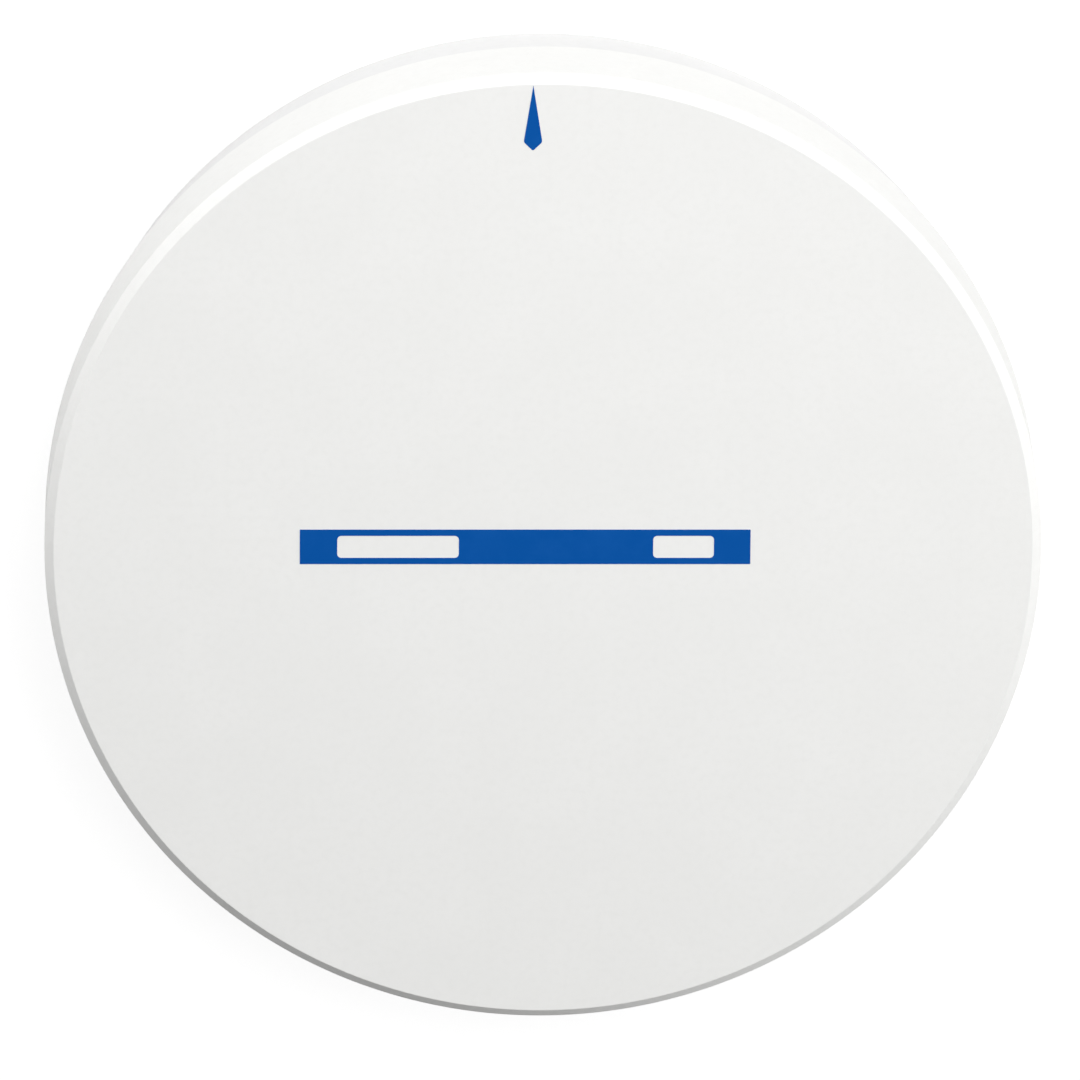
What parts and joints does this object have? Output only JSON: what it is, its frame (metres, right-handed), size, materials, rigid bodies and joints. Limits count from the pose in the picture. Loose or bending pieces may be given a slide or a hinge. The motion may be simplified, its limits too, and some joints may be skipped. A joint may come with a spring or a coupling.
{
  "type": "dental milling disc",
  "caption": "Round pre-sintered ceramic blank for a dental milling machine: a wide clamping rim flush with the printed front face, and a narrower boss behind its shoulder.",
  "frame": {"origin": "middle of the back face, which is the face it rests on", "axes": "+Z along the disc's axis, out of the printed front face; +Y towards the pointed mark at the edge of the print; +X to the right of the print"},
  "size_m": [0.0984, 0.0984, 0.02],
  "materials": {
    "ceramic": "chalky, matte, unglazed",
    "ink": "flat printed ink"
  },
  "bodies": {
    "root": {"milling_disc": "ceramic"}
  },
  "joints": []
}
